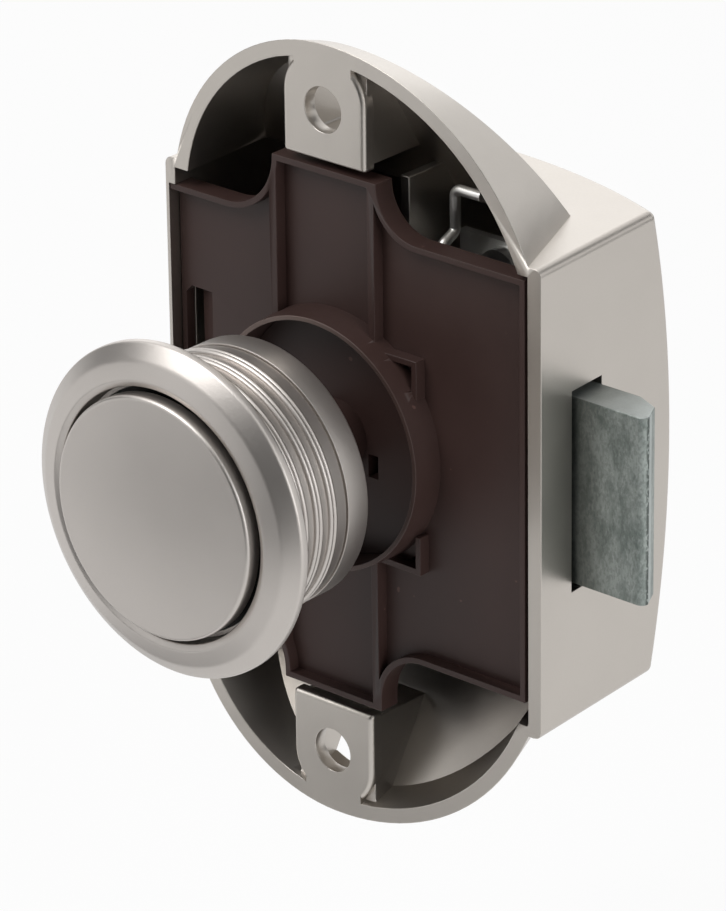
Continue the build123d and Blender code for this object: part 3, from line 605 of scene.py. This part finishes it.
SEAM_RADIUS = 12.25
SEAM_FRONT = -11.56
SLEEVE_RADIUS = 12.45
FLANGE_REAR = -20.4
FLANGE_RADIUS = 15.9
FLANGE_EDGE = -21.25
SHOULDER_RADIUS = 14.4
SHOULDER_FRONT = -22.35
LIP_RADIUS = 12.75
LIP_FRONT = -22.88
MOUTH_RADIUS = 12.1
MOUTH_FRONT = -22.6
MOUTH_REAR = -20.7
sleeve_section = [
    (ROSETTE_BORE, BAND_FRONT, 0.05),
    (SEAM_RADIUS, BAND_FRONT, 0),
    (SEAM_RADIUS, SEAM_FRONT, 0),
    (SLEEVE_RADIUS, SEAM_FRONT, 0.04),
    (SLEEVE_RADIUS, FLANGE_REAR, 0.3),
    (FLANGE_RADIUS, FLANGE_REAR, 0.2),
    (FLANGE_RADIUS, FLANGE_EDGE, 0.4),
    (SHOULDER_RADIUS, SHOULDER_FRONT, 1.6),
    (LIP_RADIUS, LIP_FRONT, 0.35),
    (MOUTH_RADIUS, MOUTH_FRONT, 0.2),
    (MOUTH_RADIUS, MOUTH_REAR, 0.05),
    (ROSETTE_BORE, MOUTH_REAR, 0.05),
]
rib_values = {
    "Count": 3,
    "First": -13.16 * MM,
    "Pitch": -1.9 * MM,
    "Ring radius": 12.44 * MM,
    "Bead radius": 0.31 * MM,
    "Bead distance": -0.48 * MM,
    "Material": turned_nickel,
}
ribbed = ribs_pattern().run(swept(rounded(sleeve_section)), rib_values)
adopt("ribbed_rosette", ribbed, "rosette", "case", turned_nickel)

# %% [markdown]
# ## Soft-edged copies
# A cast or moulded edge is never quite sharp. The housing, the cover and the bolt are copied from the
# model, their loose triangles are merged, and their outward edges are rounded by about a tenth of a
# millimetre. That gives each edge its thin line of light. Inward edges, and short edges that end at
# one, stay sharp.

# %% Merge and round off
SAME_PLACE = 0.003 * MM
FLAT_UP_TO = math.radians(0.8)
EDGE_FROM = math.radians(35)
SHORT_EDGE = 1.2 * MM
HOUSING_ROUNDING = 0.08 * MM
COVER_ROUNDING = 0.07 * MM
BOLT_ROUNDING = 0.12 * MM


def merged(node):
    """The mesh of a piece of the model as a bmesh with shared corners and whole flat faces."""
    build = bmesh.new()
    build.from_mesh(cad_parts[node].data)
    bmesh.ops.remove_doubles(build, verts=build.verts, dist=SAME_PLACE)
    bmesh.ops.dissolve_limit(build, angle_limit=FLAT_UP_TO, verts=build.verts, edges=build.edges)
    return build


def softened(build, width):
    """Rounds off the outward edges of a bmesh by a width and returns the mesh."""
    build.normal_update()
    chosen = build.edges.layers.float.new("bevel_weight_edge")
    sharp = [edge for edge in build.edges if edge.calc_face_angle(0.0) > EDGE_FROM]
    nooks = {corner for edge in sharp if not edge.is_convex for corner in edge.verts}
    for edge in sharp:
        short_in_nook = edge.calc_length() < SHORT_EDGE and not nooks.isdisjoint(edge.verts)
        if edge.is_convex and not short_in_nook:
            edge[chosen] = 1.0
        else:
            edge.smooth = False
    mesh = bpy.data.meshes.new("soft")
    build.to_mesh(mesh)
    build.free()
    mesh.shade_smooth()
    draft = bpy.data.objects.new("draft", mesh)
    bevel = draft.modifiers.new("edges", "BEVEL")
    bevel.width = width
    bevel.segments = 2
    bevel.limit_method = "WEIGHT"
    bevel.use_clamp_overlap = False
    even = draft.modifiers.new("flat faces stay flat", "WEIGHTED_NORMAL")
    even.mode = "FACE_AREA"
    even.weight = 100
    even.keep_sharp = True
    return settle(draft)


soft_housing = softened(merged("housing"), HOUSING_ROUNDING)
adopt("cast_housing", soft_housing, "housing", "case", cast_nickel)
soft_cover = softened(merged("cover_plate"), COVER_ROUNDING)
adopt("moulded_cover", soft_cover, "cover_plate", "case", brown_plastic)

# %% [markdown]
# The nose of the bolt is rounded further: its front corner moves out to the tip and takes a radius of
# seven tenths of a millimetre.

# %% Round the nose of the bolt
NOSE_RADIUS = 0.7 * MM
NOSE_STEPS = 6
CORNER_REACH = 1.0 * MM
CLOSE = 0.02 * MM

nose = merged("bolt")
tip = max(corner.co.x for corner in nose.verts)
front = min(corner.co.y for corner in nose.verts)
for corner in nose.verts:
    if corner.co.y < front + CLOSE and corner.co.x > tip - CORNER_REACH:
        corner.co.x = tip
edges = [
    edge
    for edge in nose.edges
    if all(corner.co.x > tip - CLOSE and corner.co.y < front + CLOSE for corner in edge.verts)
]
round_nose = {"offset": NOSE_RADIUS, "segments": NOSE_STEPS, "profile": 0.5}
bmesh.ops.bevel(nose, geom=edges, affect="EDGES", **round_nose)
adopt("cast_bolt", softened(nose, BOLT_ROUNDING), "bolt", "bolt", bolt_zinc)

# %% [markdown]
# ## The studio
# The lock is photographed on white. A white floor lies below it, and the world behind is white to the
# camera and in reflections. Three soft lamps and a few cards give the metal its shading. The camera
# looks through the cards, and they cast no shadow.

# %% Floor, world, cards and lamps
FLOOR_Z = -75 * MM
FLOOR_SIZE = 8.0
FLOOR_GLOW = 0.9
WORLD_LIGHT = 0.45
DARK = 0.06


def plane(name, centre, across, upward, width, height, material):
    """A flat card, given by its centre, two directions and its size."""
    across = Vector(across).normalized() * (width / 2)
    upward = Vector(upward).normalized() * (height / 2)
    centre = Vector(centre)
    mesh = bpy.data.meshes.new(name)
    corners = [
        centre - across - upward,
        centre + across - upward,
        centre + across + upward,
        centre - across + upward,
    ]
    mesh.from_pydata(corners, [], [(0, 1, 2, 3)])
    mesh.materials.append(material)
    card = bpy.data.objects.new(name, mesh)
    bpy.context.scene.collection.objects.link(card)
    return card


def floor_white():
    """White to the camera and in reflections, with the lock's soft shadow left in it."""
    look = Look("floor_white")
    rays = look.add("ShaderNodeLightPath", {}, {})
    either = {0: rays.out("Is Camera Ray"), 1: rays.out("Is Glossy Ray")}
    seen = look.add("ShaderNodeMath", {"operation": "MAXIMUM"}, either).out(0)
    matt = look.add("ShaderNodeBsdfDiffuse", {}, {"Color": (0.9, 0.9, 0.9)}).out(0)
    glow = look.add("ShaderNodeEmission", {}, {"Color": (1.0, 1.0, 1.0), "Strength": 1.0}).out(0)
    mixed = look.add("ShaderNodeMixShader", {}, {0: seen * FLOOR_GLOW, 1: matt, 2: glow}).out(0)
    look.tree.links.new(mixed.socket, look.output.node.inputs["Surface"])
    return look.material


def grey_card(name, centre, width, height, grey, upright=False):
    """A matt card that faces the lock. The metal reflects it, the camera looks through it."""
    look = Look(name)
    matt = look.add("ShaderNodeBsdfDiffuse", {}, {"Color": (grey, grey, grey)}).out(0)
    look.tree.links.new(matt.socket, look.output.node.inputs["Surface"])
    towards = Vector(centre)
    if upright:
        towards.z = 0
    towards.normalize()
    across = Vector((0, 0, 1)).cross(towards)
    card = plane(name, centre, across, towards.cross(across), width, height, look.material)
    card.visible_camera = False
    card.visible_shadow = False


plane("floor", (0, 0, FLOOR_Z), (1, 0, 0), (0, 1, 0), FLOOR_SIZE, FLOOR_SIZE, floor_white())
grey_card("camera_side_card", to_camera * 0.62, 1.7, 0.9, DARK / 2)
grey_card("button_card", (-0.040, -0.117, -0.034), 0.10, 0.03, DARK, upright=True)
grey_card("left_card", (-0.33, -0.13, 0.13), 0.30, 0.20, DARK, upright=True)
grey_card("right_card", (0.05, -0.13, -0.015), 0.09, 0.07, DARK, upright=True)
# Painted shadow: a grey card on the floor under the lock stands in for its shadow there, which the lower
# faces reflect.
grey_card("floor_shadow_card", (-0.036, -0.040, -0.070), 0.07, 0.03, 0.5)
grey_card("back_card", (0.18, 0.45, -0.01), 0.34, 0.12, DARK, upright=True)
grey_card("edge_card", (0.20, 0.34, 0.30), 0.22, 0.20, DARK)

world = bpy.data.worlds.new("studio")
world.use_nodes = True
bpy.context.scene.world = world
tree = world.node_tree
tree.nodes.clear()
output = tree.nodes.new("ShaderNodeOutputWorld")
background = tree.nodes.new("ShaderNodeBackground")
rays = tree.nodes.new("ShaderNodeLightPath")
strength = tree.nodes.new("ShaderNodeMapRange")
strength.inputs[3].default_value = WORLD_LIGHT
strength.inputs[4].default_value = 1.0
either = tree.nodes.new("ShaderNodeMath")
either.operation = "MAXIMUM"
either_more = tree.nodes.new("ShaderNodeMath")
either_more.operation = "MAXIMUM"
tree.links.new(rays.outputs["Is Camera Ray"], either.inputs[0])
tree.links.new(rays.outputs["Is Glossy Ray"], either.inputs[1])
tree.links.new(either.outputs[0], either_more.inputs[0])
tree.links.new(rays.outputs["Is Transmission Ray"], either_more.inputs[1])
tree.links.new(either_more.outputs[0], strength.inputs[0])
tree.links.new(strength.outputs[0], background.inputs["Strength"])
background.inputs["Color"].default_value = (1, 1, 1, 1)
tree.links.new(background.outputs[0], output.inputs[0])


def area_lamp(name, place, size, watts):
    """A soft lamp that shines on the origin."""
    data = bpy.data.lights.new(name, "AREA")
    data.shape = "RECTANGLE"
    data.size, data.size_y = size
    data.energy = watts
    lamp = bpy.data.objects.new(name, data)
    aim = -Vector(place).normalized()
    lamp.matrix_world = Matrix.Translation(place) @ aim.to_track_quat("-Z", "Y").to_matrix().to_4x4()
    bpy.context.scene.collection.objects.link(lamp)


area_lamp("key", (-0.25, -0.50, 0.75), (0.6, 0.6), 5.0)
area_lamp("window", (-0.53, 0.65, 0.33), (0.6, 0.6), 0.8)
area_lamp("side", (0.75, -0.15, 0.25), (0.4, 0.5), 3.0)
print("studio ready")
